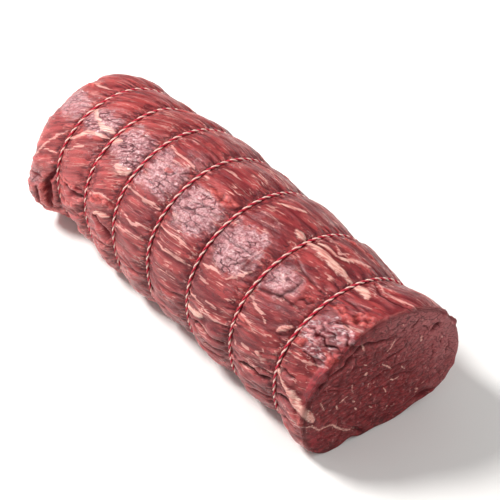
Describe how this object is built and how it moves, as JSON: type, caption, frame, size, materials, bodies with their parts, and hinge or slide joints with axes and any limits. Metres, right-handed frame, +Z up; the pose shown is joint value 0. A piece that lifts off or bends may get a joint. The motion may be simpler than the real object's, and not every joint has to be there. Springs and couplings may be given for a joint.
{
  "type": "tied beef roasting joint",
  "caption": "Raw beef roasting joint lying on its side: a long rounded roll of meat with one flat cut end, held in shape by loops of two-colour butcher's twine.",
  "frame": {"origin": "on the surface that the joint lies on, below the middle of its box", "axes": "+X along the joint from its far end towards its cut face, +Z up"},
  "size_m": [0.3043, 0.1247, 0.1064],
  "materials": {
    "meat": "moist raw beef, satin gloss",
    "twine": "matt cotton, red and white strands"
  },
  "bodies": {
    "root": {"beef": "meat", "twine_1": "twine", "twine_2": "twine", "twine_3": "twine", "twine_4": "twine", "twine_5": "twine", "twine_6": "twine", "twine_7": "twine"}
  },
  "joints": []
}
